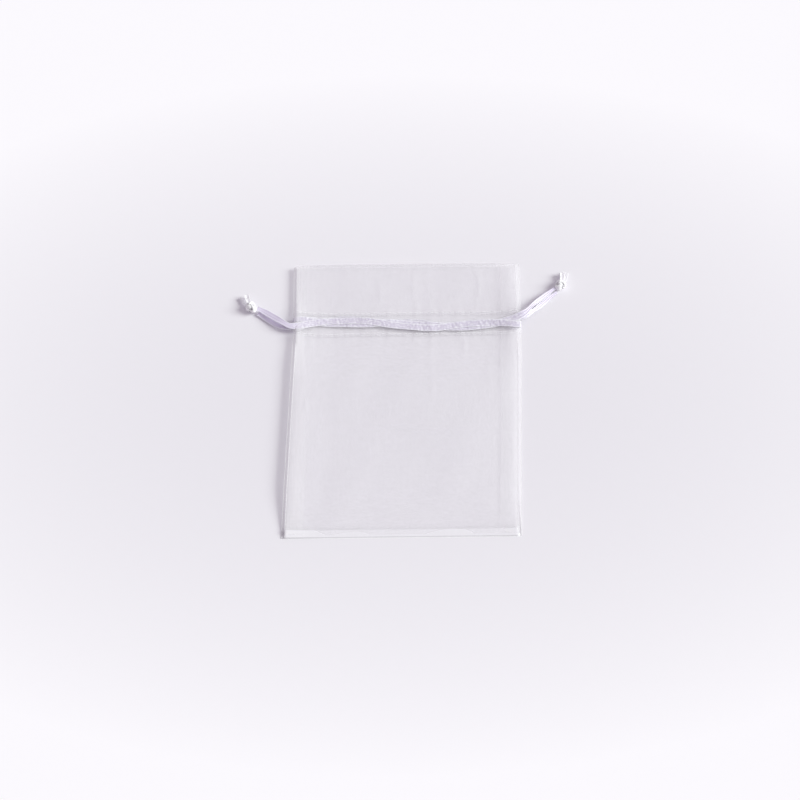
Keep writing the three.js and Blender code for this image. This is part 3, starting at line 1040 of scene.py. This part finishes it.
def build_ribbon(side, heading, depths, crossing, resting, phase, tails):
    front = channel_route("front", heading, depths[0], crossing, resting, phase)
    back = channel_route("back", heading, depths[1], crossing, resting, phase + 2.1)
    turn = turn_route(heading, resting, front[-1][2], back[-1][2])
    points = [*lowered(tails["front"]), *front, *turn, *back[::-1], *lowered(tails["back"])[::-1]]
    path = smooth_path(points, 0.3 * MM)
    along = distances(path)
    across = np.linspace(-1, 1, RIBBON_COLUMNS)
    inside = smooth(HALF_MOUTH - np.abs(path[:, 0] - CENTRE_MOUTH), -1.5 * MM, 5 * MM)
    out = 1 - inside
    # The left tail tips away from the light and the right tail tips towards it.
    tilt = {"left": 0.20, "right": -0.22}[side]
    first_half = along < along[-1] / 2
    sway = 0.10 * np.sin(along / (3.7 * MM) + phase) * inside
    roll = out * np.where(first_half, tilt, -tilt) + sway
    seed = 11 if side == "left" else 23
    coarse = crinkle(along, across, seed, (1.9 * MM, 3.6 * MM), (0.6, 2.6), 4)
    fine = crinkle(along, across, seed + 1, (0.9 * MM, 1.9 * MM), (1.0, 4.0), 6)
    soft = crinkle(along, across, seed + 2, (9 * MM, 16 * MM), (0.4, 1.4), 3)
    drift = 0.9 * np.sin(along[:, None] / (4 * MM) + phase)
    pleats = np.cos(2.6 * math.pi * across[None, :] + drift)
    pleat_size = (0.03 if side == "left" else 0.11) * MM
    lift = inside[:, None] * (0.055 * MM * coarse + 0.055 * MM * fine)
    lift = lift + out[:, None] * (0.07 * MM * soft + pleat_size * pleats)
    from_end = np.minimum(along, along[-1] - along)
    tail = 14 * MM
    folded = {"left": 0.10, "right": 0.34}[side]
    narrow = folded * (1 - smooth(from_end, tail - 2 * MM, tail + 6 * MM))
    pinched = 0.26 * (1 - smooth(from_end, 0, 5 * MM)) + 0.20 * ridge(from_end - tail, 3 * MM)
    from_turn = np.abs(along - 0.5 * along[-1])
    pinched = pinched + 0.16 * ridge(from_turn, 2.4 * MM)
    width = RIBBON_WIDTH * (1 - narrow - pinched)
    obj = ribbon_piece(f"{side}_ribbon", path, width, roll, lift, SATIN)
    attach(obj, f"{side}_drawstring")
    return obj, path


KNOT_POINTS = 220
KNOT_SIDES = 20
CORE_RINGS = 12
CORE_SCALE = (2.7, 2.7, 2.0)


def knot_core(centre, turn, size, phase):
    """The ribbon drawn through the middle of the knot, which fills the gaps between its turns."""
    vertices, uvs = [], []
    for ring in range(1, CORE_RINGS):
        across = math.pi * ring / CORE_RINGS
        level = math.sin(across)
        for k in range(KNOT_SIDES):
            angle = 2 * math.pi * k / KNOT_SIDES
            crease = 1 + 0.07 * math.sin(5 * angle + phase)
            crease += 0.05 * math.sin(9 * angle + 4 * across)
            point = Vector((level * math.cos(angle), level * math.sin(angle), math.cos(across)))
            local = Vector(c * s * scale for c, s, scale in zip(point, size, CORE_SCALE))
            vertices.append(centre + turn @ (local * crease * MM))
            uvs.append((0.4 * RIBBON_WIDTH * math.cos(across), angle * MM))
    last = (CORE_RINGS - 2) * KNOT_SIDES
    faces = [(a, c, d, b) for a, b, d, c in ring_faces(CORE_RINGS - 1, KNOT_SIDES)]
    faces.append(tuple(range(KNOT_SIDES)))
    faces.append(tuple(range(last, last + KNOT_SIDES))[::-1])
    return vertices, faces, uvs


def build_knot(side):
    """An overhand knot: a flattened, crumpled ribbon swept round a trefoil."""
    facts = KNOTS[side]
    centre = Vector(scaled([facts["centre"]])[0])
    turn = Matrix.Rotation(math.radians(facts["turn"]), 3, "Z")
    path = []
    for i in range(KNOT_POINTS):
        t = 2 * math.pi * i / KNOT_POINTS
        wide = math.sin(t) + 2 * math.sin(2 * t)
        high = math.cos(t) - 2 * math.cos(2 * t)
        loop = Vector((wide, high, -1.05 * math.sin(3 * t)))
        local = Vector(a * b for a, b in zip(loop, facts["size"])) * MM
        path.append(centre + turn @ local)
    vertices, uvs = [], []
    draws = np.random.default_rng(5 if side == "left" else 9)
    phases = draws.uniform(0, 6.3, 4)
    for i, point in enumerate(path):
        along = (path[(i + 1) % KNOT_POINTS] - path[i - 1]).normalized()
        outward = (point - centre).normalized()
        across = along.cross(outward).normalized()
        lift = across.cross(along).normalized()
        pinch = 1 + 0.10 * math.sin(7 * i / KNOT_POINTS * 2 * math.pi + phases[0])
        for k in range(KNOT_SIDES):
            angle = 2 * math.pi * k / KNOT_SIDES
            crease = 1 + 0.07 * math.sin(3 * angle + phases[1] + 0.14 * i)
            crease += 0.03 * math.sin(7 * angle + phases[2])
            wide = 1.32 * MM * pinch * crease * math.cos(angle)
            deep = 0.64 * MM * crease * math.sin(angle)
            vertices.append(point + across * wide + lift * deep)
            uvs.append((0.5 * RIBBON_WIDTH * math.cos(angle), i * 0.2 * MM))
    turns = (vertices, ring_faces(KNOT_POINTS, KNOT_SIDES, closed=True))
    *core, core_uvs = knot_core(centre, turn, facts["size"], phases[3])
    vertices, faces = join_parts([turns, core])
    node = f"{side}_knot"
    obj = new_piece(
        f"{node}_satin", node, vertices, faces, PAINTED_HIGHLIGHT_KNOT_SATIN, uvs + core_uvs
    )
    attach(obj, f"{side}_drawstring")
    return obj


def build_tips(side):
    """The ribbon's two cut ends past the knot, each folded along its middle."""
    made = []
    knot = Vector(scaled([KNOTS[side]["centre"]])[0])
    for label, route in TIPS[side].items():
        points = scaled(route)
        inside = knot.lerp(Vector(points[0]), 0.35)
        path = smooth_path([tuple(inside), *points], 0.2 * MM)
        share = np.linspace(0, 1, len(path))
        across = np.linspace(-1, 1, RIBBON_COLUMNS)
        width = RIBBON_WIDTH * (0.52 + 0.20 * share)
        roll = (0.10 if label == "upper" else 0.25) * (1 - 0.3 * share)
        trough = (0.36 + 0.12 * share[:, None]) * MM * (np.sqrt(across[None, :] ** 2 + 0.02) - 0.45)
        seed = 31 if label == "upper" else 37
        creases = crinkle(share * 4.5 * MM, across, seed, (1.4 * MM, 2.6 * MM), (0.5, 2.5), 4)
        lift = trough + 0.10 * MM * creases
        obj = ribbon_piece(f"{side}_{label}_tip", path, width, roll, lift, PAINTED_HIGHLIGHT_KNOT_SATIN)
        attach(obj, f"{side}_drawstring")
        made.append(obj)
    return made


def build_drawstrings():
    specs = (
        ("left", 1, (0.19 * MM, 0.20 * MM), -0.80 * MM, LOWER_ROW + 3.3 * MM, 0.4, LEFT_TAILS),
        ("right", -1, (0.40 * MM, 0.41 * MM), 0.80 * MM, UPPER_ROW - 2.9 * MM, 3.4, RIGHT_TAILS),
    )
    for side, heading, depths, crossing, resting, phase, tails in specs:
        ribbon, path = build_ribbon(side, heading, depths, crossing, resting, phase, tails)
        knot = build_knot(side)
        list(build_tips(side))


# ---- Table, light and camera ----
TABLE_REACH = 1.6
SUN_AZIMUTH = math.radians(2)
SUN_ELEVATION = math.radians(31)
SUN_SPREAD = math.radians(30)
CAMERA_ELEVATION = math.radians(60)
CAMERA_DISTANCE = 1.0
CAMERA_ROLL = math.radians(0.65)
CAMERA_TARGET = Vector((-1.5, -0.5, 0.0)) * MM
LENS = 116.5


def build_table():
    """A plain pale table whose colour grows a little paler away from the middle: painted light
    fall-off.
    """
    low, high = -TABLE_REACH, TABLE_REACH
    mesh = bpy.data.meshes.new("floor")
    corners = [(low, low, 0), (high, low, 0), (high, high, 0), (low, high, 0)]
    mesh.from_pydata(corners, [], [(0, 1, 2, 3)])
    floor = add_object("floor", mesh)
    surface = Surface("pale_table")
    place = surface.place()
    grain = surface.noise(place, 240.0, 4.0)
    tone = surface.mix(grain, (0.795, 0.775, 0.820), (0.805, 0.785, 0.830))
    squares = []
    for axis, rate in (("X", 1.9), ("Y", 3.15)):
        out = surface.math("MULTIPLY", surface.axes(place)[axis], rate)
        squares.append(surface.math("POWER", out, 2.0))
    # Darkest in the middle under the bag and paler away from it: painted light fall-off.
    painted_light_falloff = surface.math("MINIMUM", surface.math("ADD", *squares), 0.24)
    colour = surface.mix(painted_light_falloff, tone, (1.55, 1.55, 1.52))
    looks = {"Base Color": colour, "Roughness": 0.75, "Specular IOR Level": 0.2}
    mesh.materials.append(surface.shade(looks))


def build_light():
    """Soft, even light from the right, as a large window far away gives, and a pale room."""
    world = bpy.data.worlds.new("studio")
    bpy.context.scene.world = world
    world.use_nodes = True
    background = world.node_tree.nodes["Background"]
    background.inputs["Color"].default_value = (0.975, 0.905, 1.0, 1)
    background.inputs["Strength"].default_value = 0.495
    data = bpy.data.lights.new("window_light", "SUN")
    data.energy = 3.30
    data.angle = SUN_SPREAD
    data.color = (0.945, 1.0, 0.94)
    light = add_object("window_light", data)
    level = math.cos(SUN_ELEVATION)
    toward = Vector(
        (level * math.cos(SUN_AZIMUTH), level * math.sin(SUN_AZIMUTH), math.sin(SUN_ELEVATION))
    )
    light.location = toward
    light.rotation_euler = (-toward).to_track_quat("-Z", "Y").to_euler()


def build_camera():
    data = bpy.data.cameras.new("camera")
    data.lens = LENS
    data.sensor_width = 36
    data.clip_start = 0.01
    camera = add_object("camera", data)
    toward = Vector((0, -math.cos(CAMERA_ELEVATION), math.sin(CAMERA_ELEVATION)))
    camera.location = CAMERA_TARGET + toward * CAMERA_DISTANCE
    facing = (-toward).to_track_quat("-Z", "Y").to_matrix()
    roll = Matrix.Rotation(-CAMERA_ROLL, 3, "Z")
    camera.rotation_euler = (facing @ roll).to_euler()
    bpy.context.scene.camera = camera


def main():
    bpy.context.scene.view_settings.view_transform = "Standard"
    bpy.context.scene.cycles.transparent_max_bounces = 64  # light passes many sheer layers
    build_camera()
    build_light()
    build_table()
    build_drawstrings()
    build_panel("back")
    build_panel("front")
    build_mouth()
    build_mouth_folds()
    build_allowances()
    build_side_seams()
    build_bottom_seam()
    build_stitch_rows()
    declare_sheets()


main()
